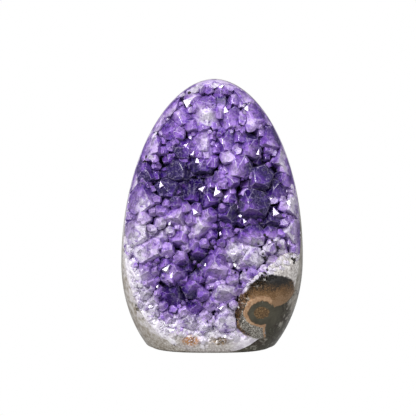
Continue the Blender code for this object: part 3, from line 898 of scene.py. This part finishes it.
def build_stone():
    """The rind, the quartz and the nodule, which meet on shared natural boundaries."""
    corner = new_piece("corner", sphere_solid(RIND_CORNER_CENTRE, RIND_CORNER_RADIUS))
    bowl = cut_piece("bowl_less_corner",
                     ellipsoid_solid(QUARTZ_BOWL_CENTRE, QUARTZ_BOWL_RADII),
                     ("DIFFERENCE", corner))
    knolls = [new_piece("knoll", sphere_solid(centre, radius)) for centre, radius in QUARTZ_KNOLLS]
    cavity = cut_piece("cavity", ellipsoid_solid(CRYSTAL_BOWL_CENTRE, CRYSTAL_BOWL_RADII),
                       *[("DIFFERENCE", knoll) for knoll in knolls])
    cap = new_piece("cap", ellipsoid_solid(NODULE_CAP_CENTRE, NODULE_CAP_RADII, NODULE_WOBBLE))
    seat = cut_piece("seat", sphere_solid(NODULE_CENTRE, NODULE_RADIUS, NODULE_WOBBLE),
                     ("UNION", cap))
    egg = new_piece("egg", egg_solid())

    rind = cut_piece("polished_rind", egg_solid(), ("DIFFERENCE", bowl), ("DIFFERENCE", seat))
    set_value(rind, "rim", bowl_distance)
    wear(rind, rind_material(), "grey_rind", "stone_rind")
    quartz = cut_piece("quartz_bowl", egg_solid(), ("INTERSECT", bowl), ("DIFFERENCE", cavity),
                       ("DIFFERENCE", seat))
    erode_rim(quartz)
    set_tint(quartz, quartz_tint)
    set_value(quartz, "violet", quartz_violet)
    set_value(quartz, "rim", rim_distance)
    wear(quartz, quartz_material(), "white_quartz", "quartz_layer")
    nodule = cut_piece("agate_nodule",
                       sphere_solid(NODULE_CENTRE, NODULE_RADIUS, NODULE_WOBBLE),
                       ("UNION", cap), ("INTERSECT", egg))
    wear(nodule, agate_material(), "iron_agate", "iron_agate_nodule")

    for helper in [piece for piece in bpy.data.objects
                   if piece.type == "MESH" and "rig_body" not in piece]:
        bpy.data.objects.remove(helper)
    return quartz


# ---------------------------------------------------------------- the crystals

def split_long_edges(bm, longest):
    """Halve edges until none is longer than asked."""
    bmesh.ops.triangulate(bm, faces=bm.faces[:])
    for _ in range(6):
        long_edges = [edge for edge in bm.edges if edge.calc_length() > longest]
        if not long_edges:
            break
        bmesh.ops.subdivide_edges(bm, edges=long_edges, cuts=1)
        bmesh.ops.triangulate(bm, faces=[face for face in bm.faces if len(face.verts) > 3])


def ramp_tone(level):
    """Amethyst's colour at a level from 0, dark, to 1, milky."""
    place = min(0.9999, max(0.0, level)) * (len(TONES) - 1)
    index = int(place)
    return TONES[index].lerp(TONES[index + 1], place - index)


@functools.lru_cache(maxsize=None)
def level_at(x, z):
    """How much darker or paler the bed of crystals is at a whole millimetre."""
    total = sum(change * math.exp(-((x - x0) ** 2 + (z - z0) ** 2) / reach ** 2)
                for x0, z0, reach, change in SHADES)
    return 1.25 * total + 0.12


def zone_level(point):
    return level_at(round(point.x / MM), round(point.z / MM))


def part_mirrors(bm):
    """Break each large face that would mirror the key light into two growth faces."""
    bm.normal_update()
    mirrors = [(face.calc_center_median(), face.normal.copy()) for face in bm.faces
               if face.normal.dot(GLINT_NORMAL) > MIRROR_DOT and face.calc_area() > LARGE_FACE]
    for centre, normal in mirrors:
        along = normal.cross(GLINT_NORMAL).normalized()
        for side in (1.0, -1.0):
            trim(bm, centre, (normal + side * PARTING_TILT * along).normalized())


def finish_crystal(bm, level, front, inset, bevel, seed, shade_strength=0.85, step=FACET_STEP):
    """Bevel, refine, grind and tint a raw crystal whose foremost point lies at y = front."""
    edge_layer = bm.faces.layers.float.new("edge")
    polish_layer = bm.faces.layers.float.new("polish")
    bm.normal_update()
    if bevel:
        sharp = [edge for edge in bm.edges if len(edge.link_faces) == 2
                 and edge.calc_face_angle(0.0) > BEVELLED_ANGLE]
        made = bmesh.ops.bevel(bm, geom=sharp, offset=bevel, segments=1, affect="EDGES",
                               clamp_overlap=True)
        for face in made["faces"]:
            face[edge_layer] = 1.0
    split_long_edges(bm, step)
    bm.normal_update()
    tint_layer = bm.loops.layers.float_color.new("tint")
    offset = Vector((seed * 1.7, seed * 0.9, seed * 2.3))
    for face in bm.faces:
        # Painted light: each face is made paler or darker by its direction, as if it caught the
        # light differently.
        facing = FACET_LIGHT_CONTRAST * noise.noise(face.normal * 1.9 + offset)
        if face.normal.y < 0.1 and all(depth_under(v.co) < GRIND_BAND for v in face.verts):
            facing += POLISH_LIFT
            face[polish_layer] = 1.0
        for loop in face.loops:
            point = loop.vert.co
            fall = point.y - front
            zone = zone_level(point)
            # Painted shade: the colour darkens and turns toward the shade tone with distance behind
            # the crystal's tip, less so in paler zones.
            shade = shade_strength * smooth(fall, SHADE_START, SHADE_END)
            shade *= min(1.0, max(0.35, 1.15 - 1.6 * zone))
            colour = ramp_tone(level + facing + zone - 0.55 * shade)
            colour = colour.lerp(PAINTED_SHADE_TONE, 0.5 * shade)
            loop[tint_layer] = (*colour, 1.0)
    for vertex in bm.verts:
        vertex.co = ground(vertex.co, inset)
        vertex.co.z = max(vertex.co.z, FLOOR_CLEARANCE)


def build_points(material):
    """Each CAD crystal as its own finished point."""
    slots = {part["node"]: part["material_slot"] for part in frame["record"]["subparts"]}
    draw = random.Random(POINT_SEED)
    pieces = []
    for index, (node, slot) in enumerate(sorted(slots.items())):
        if not node.startswith("amethyst_crystal_"):
            continue
        bm = bmesh.new()
        bm.from_mesh(frame["nodes"][node].data)
        bmesh.ops.remove_doubles(bm, verts=bm.verts, dist=1e-6)
        bmesh.ops.dissolve_limit(bm, angle_limit=math.radians(1.0), verts=bm.verts,
                                 edges=bm.edges)
        bm.normal_update()
        for vertex in bm.verts:
            vertex.co += vertex.normal * GAP_GROWTH
        part_mirrors(bm)
        level = SLOT_TONES[slot] + draw.uniform(-0.06, 0.06)
        front = min(vertex.co.y for vertex in bm.verts)
        finish_crystal(bm, level, front, draw.uniform(0.02, 0.16) * MM, EDGE_BEVEL, index)
        piece = new_piece(node.replace("crystal", "point"), bm, crisp=True)
        wear(piece, material, slot, node)
        pieces.append(piece)
    return pieces


class Point:
    """A small crystal of a druse, from its tip, axis and radius."""

    def __init__(self, tip, axis, radius, draw):
        self.tip = tip
        self.axis = axis
        self.radius = radius
        self.spin = draw.uniform(0.0, math.radians(60.0))
        self.widths = [draw.uniform(0.8, 1.1) for _ in range(6)]
        self.shares = [draw.uniform(0.0, 0.15) + 0.3 * (side % 2) for side in range(6)]

    def solid(self, length):
        bm = bmesh.new()
        bmesh.ops.create_cube(bm, size=2.0 * length)
        for side in range(6):
            azimuth = self.spin + side * math.radians(60.0)
            outward = Vector((math.cos(azimuth), math.sin(azimuth), 0.0))
            trim(bm, outward * self.radius * self.widths[side], outward)
            facing = outward * math.sin(RHOMB_ANGLE)
            facing.z = math.cos(RHOMB_ANGLE)
            trim(bm, Vector((0.0, 0.0, self.radius * self.shares[side])), facing)
        turn = self.axis.to_track_quat("Z", "Y").to_matrix().to_4x4()
        bmesh.ops.transform(bm, matrix=Matrix.Translation(self.tip) @ turn, verts=bm.verts)
        return bm


def main_tips():
    """Middle of the box and rough radius of each CAD crystal."""
    tips = []
    for node in sorted(frame["nodes"]):
        if node.startswith("amethyst_crystal_"):
            low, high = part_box(node)
            middle = 0.5 * (low + high)
            tips.append((middle, 0.25 * (high.x - low.x + high.z - low.z)))
    return tips


class Bed:
    """The surface that small crystals grow on, seen from the front."""

    def __init__(self, pieces):
        self.points = []
        self.faces = []
        for piece in pieces:
            self.add_mesh(piece.data)
        self.rebuild()

    def add_mesh(self, mesh):
        start = len(self.points)
        self.points.extend(vertex.co.copy() for vertex in mesh.vertices)
        self.faces.extend([start + index for index in face.vertices] for face in mesh.polygons)

    def rebuild(self):
        self.tree = BVHTree.FromPolygons(self.points, self.faces)

    def depth(self, x, z):
        """How far the bed lies under the envelope at x and z, and its normal there."""
        front = envelope_front(x, z)
        hit, normal, _, _ = self.tree.ray_cast(Vector((x, front - 1.0 * MM, z)),
                                               Vector((0.0, 1.0, 0.0)), 0.06)
        if hit is None:
            return None, None
        return hit.y - front, normal


def in_crystal_field(x, z):
    """Whether crystals grow where the envelope's front is at x and z."""
    front = Vector((x, envelope_front(x, z), z))
    if ellipsoid_ratio(front, CRYSTAL_BOWL_CENTRE, CRYSTAL_BOWL_RADII) >= 1.0:
        return False
    if math.hypot(x - AGATE_EYE[0], 0.85 * (z - AGATE_EYE[1])) < AGATE_REACH:
        return False
    return all((front - centre).length > radius - 1.0 * MM for centre, radius in QUARTZ_KNOLLS)


def leaning(axis, spread, draw):
    """A direction tilted a little from an axis."""
    return (axis + Vector(draw.gauss(0.0, spread) for _ in range(3))).normalized()


def add_to_field(field, bm, bed=None):
    """Move a finished crystal into a field of them, and into the bed where others will see it."""
    mesh = bpy.data.meshes.new("grain")
    bm.to_mesh(mesh)
    bm.free()
    field.from_mesh(mesh)
    if bed:
        bed.add_mesh(mesh)
    bpy.data.meshes.remove(mesh)


def add_grown(field, bed, point, length, level, inset, seed):
    """Finish a small crystal, add it to a field of them, and to the bed that others see."""
    bm = point.solid(length)
    part_mirrors(bm)
    front = min(vertex.co.y for vertex in bm.verts)
    finish_crystal(bm, level, front, inset, 0.04 * point.radius, seed, step=2.4 * MM)
    add_to_field(field, bm, bed)


def build_druse(material, pieces):
    """Small crystals on the bed wherever the main ones leave room, from large to small."""
    draw = random.Random(DRUSE_SEED)
    mains = main_tips()
    bed = Bed(pieces)
    grown = []
    field = bmesh.new()
    for radius, tries, least, rise in DRUSE_ROUNDS:
        for _ in range(tries):
            x = draw.uniform(-HALF_WIDTH, HALF_WIDTH)
            z = draw.uniform(DRUSE_LOW, CAD_HIGH.z - 1.0 * MM)
            size = radius * draw.uniform(0.8, 1.2) * MM
            lift = rise * draw.uniform(0.6, 1.2) * MM
            if abs(x) > 0.97 * HALF_WIDTH * plan_scale(z) or not in_crystal_field(x, z):
                continue
            if any(math.hypot(x - tip.x, z - tip.z) < 0.74 * wide for tip, wide in mains):
                continue
            depth, _ = bed.depth(x, z)
            if depth is None or depth < least * MM:
                continue
            if any(math.hypot(x - other.tip.x, z - other.tip.z) < 0.68 * (size + other.radius)
                   for other in grown):
                continue
            hollow = min(5.0, 22.0 * max(0.0, 0.04 - zone_level(Vector((x, 0.0, z))))) * MM
            sunk = max(depth - lift, draw.uniform(0.6, 3.2) * MM + hollow)
            if sunk > depth - 0.4 * size:
                continue
            tip = Vector((x, envelope_front(x, z) + sunk, z))
            spread = WIDE_LEAN if size > WIDE_RADIUS else NARROW_LEAN
            axis = leaning((CRYSTAL_FOCUS - tip).normalized(), spread, draw)
            point = Point(tip, axis, size, draw)
            grown.append(point)
            level = DRUSE_LEVEL + draw.uniform(-0.12, 0.10)
            length = min(DRUSE_LONGEST, depth - sunk + 2.5 * size)
            add_grown(field, bed, point, length, level, draw.uniform(0.02, 0.2) * MM, len(grown))
        bed.rebuild()
    piece = new_piece("small_crystals", field, crisp=True)
    wear(piece, material, "amethyst_violet")
    return bed


def build_grains(quartz, bed):
    """Sugary quartz grains wherever bare quartz shows inside the bowl."""
    draw = random.Random(GRAIN_SEED)
    wall = Bed([quartz])
    field = bmesh.new()
    for index in range(GRAIN_TRIES):
        x = draw.uniform(-HALF_WIDTH, HALF_WIDTH)
        z = draw.uniform(2.0 * MM, GRAIN_TOP)
        radius = draw.uniform(0.5, 1.3) * MM
        depth, normal = wall.depth(x, z)
        if depth is None or not LEAST_GRAIN_DEPTH < depth < MOST_GRAIN_DEPTH:
            continue
        if draw.random() > GRAIN_SHARE or normal.y > -0.02:
            continue
        root = Vector((x, envelope_front(x, z) + depth, z))
        axis = leaning((normal + 0.6 * (CRYSTAL_FOCUS - root).normalized()).normalized(), 0.3, draw)
        point = Point(root + axis * radius * draw.uniform(0.5, 1.1), axis, radius, draw)
        bm = point.solid(3.0 * radius)
        # Painted shade: grains deeper under the envelope get a darker tint.
        level = 0.95 - 0.75 * smooth(depth, 1.5 * MM, 9.0 * MM) + draw.uniform(-0.2, 0.1)
        front = min(vertex.co.y for vertex in bm.verts)
        finish_crystal(bm, level, front, 0.03 * MM, 0.0, index, shade_strength=0.5, step=3.0 * MM)
        add_to_field(field, bm, bed)
    piece = new_piece("quartz_grains", field, crisp=True)
    wear(piece, grain_material(), "white_quartz")


def splinter(centre, facing, radius, draw):
    """A crystal that ends in one slender three-cornered face."""
    turn = facing.to_track_quat("Z", "Y").to_matrix()
    turn = turn @ Matrix.Rotation(draw.uniform(-0.8, 0.8), 3, "Z")
    corners = (Vector((0.0, draw.uniform(1.2, 1.7), 0.0)),
               Vector((-draw.uniform(0.5, 0.9), -draw.uniform(0.5, 1.1), 0.0)),
               Vector((draw.uniform(0.5, 0.9), -draw.uniform(0.5, 1.1), 0.0)))
    bm = bmesh.new()
    front = [bm.verts.new(centre + turn @ corner * radius) for corner in corners]
    back = [bm.verts.new(centre + turn @ (1.4 * corner - Vector((0.0, 0.0, 2.6))) * radius)
            for corner in corners]
    bm.faces.new(front)
    bm.faces.new(back)
    for side in range(3):
        after = (side + 1) % 3
        bm.faces.new((front[side], front[after], back[after], back[side]))
    bmesh.ops.recalc_face_normals(bm, faces=bm.faces[:])
    return bm


def build_glints(material, bed):
    """Crystals with one face turned half way between the key light and the viewer."""
    draw = random.Random(GLINT_SEED)
    field = bmesh.new()
    for index, (x, z, radius) in enumerate(GLINTS):
        x, z, radius = x * MM, z * MM, GLINT_SIZE * radius * MM
        depth, _ = bed.depth(x, z)
        sunk = max(0.5 * MM, min(depth or 0.0, 6.0 * MM) - 0.7 * radius)
        centre = Vector((x, envelope_front(x, z) + sunk, z))
        bisector = (VIEWER - centre).normalized() + (KEY_LIGHT - centre).normalized()
        bm = splinter(centre, leaning(bisector.normalized(), 0.02, draw), radius, draw)
        front = min(vertex.co.y for vertex in bm.verts)
        finish_crystal(bm, GLINT_LEVEL, front, 0.05 * MM, 0.03 * radius, index + 900, shade_strength=0.4)
        add_to_field(field, bm)
    piece = new_piece("bright_crystals", field, crisp=True)
    wear(piece, material, "amethyst_pale")


def build_inclusions(bed):
    """Knobbly grains of iron oxide sitting on the crystals."""
    field = bmesh.new()
    for x, z, radius in INCLUSIONS:
        x, z, radius = x * MM, z * MM, radius * MM
        depth, _ = bed.depth(x, z)
        centre = Vector((x, envelope_front(x, z) + (depth or 0.0) - 0.25 * radius, z))
        made = bmesh.ops.create_icosphere(field, subdivisions=2, radius=radius)
        for vertex in made["verts"]:
            knob = 1.0 + 0.5 * noise.noise(vertex.co / (0.6 * radius) + centre / MM)
            vertex.co = ground(centre + vertex.co * knob, 0.02 * MM)
    piece = new_piece("oxide_grains", field)
    wear(piece, oxide_material(), "iron_agate")


# ---------------------------------------------------------------- studio

def add_area(name, place, size, power):
    """A soft rectangular light that looks at the middle of the stone."""
    light = bpy.data.lights.new(name, "AREA")
    light.shape = "RECTANGLE"
    light.size, light.size_y = size
    light.energy = power
    lamp = bpy.data.objects.new(name, light)
    lamp.location = place
    lamp.rotation_euler = (LAMP_TARGET - place).to_track_quat("-Z", "Y").to_euler()
    bpy.context.scene.collection.objects.link(lamp)


def build_studio():
    """Camera, pale floor and soft light, with a backdrop that is brighter seen than as a light."""
    camera = bpy.data.cameras.new("camera")
    camera.lens = LENS
    viewer = bpy.data.objects.new("camera", camera)
    viewer.location = VIEWER
    viewer.rotation_euler = (VIEW_TARGET - VIEWER).to_track_quat("-Z", "Y").to_euler()
    bpy.context.scene.collection.objects.link(viewer)
    bpy.context.scene.camera = viewer

    bm = bmesh.new()
    bmesh.ops.create_grid(bm, x_segments=1, y_segments=1, size=2.5)
    floor = new_piece("floor", bm)
    floor.location.z = -FLOOR_GAP
    paint = Nodes("floor")
    paint.surface((0.92, 0.92, 0.92, 1.0), 0.9)
    floor.data.materials.append(paint.material)

    world = bpy.data.worlds.new("studio")
    world.use_nodes = True
    background = world.node_tree.nodes["Background"]
    background.inputs["Color"].default_value = (1.0, 1.0, 1.0, 1.0)
    eye = world.node_tree.nodes.new("ShaderNodeLightPath")
    level = world.node_tree.nodes.new("ShaderNodeMapRange")
    level.inputs["To Min"].default_value = BACKDROP_LIGHT
    level.inputs["To Max"].default_value = BACKDROP_SEEN
    world.node_tree.links.new(eye.outputs["Is Camera Ray"], level.inputs["Value"])
    world.node_tree.links.new(level.outputs["Result"], background.inputs["Strength"])
    bpy.context.scene.world = world

    for lamp in LAMPS:
        add_area(*lamp)
    bpy.context.scene.view_settings.view_transform = "Standard"


build_studio()
quartz = build_stone()
amethyst = amethyst_material()
points = build_points(amethyst)
bed = build_druse(amethyst, [quartz, *points])
build_grains(quartz, bed)
build_glints(amethyst, bed)
bed.rebuild()
build_inclusions(bed)
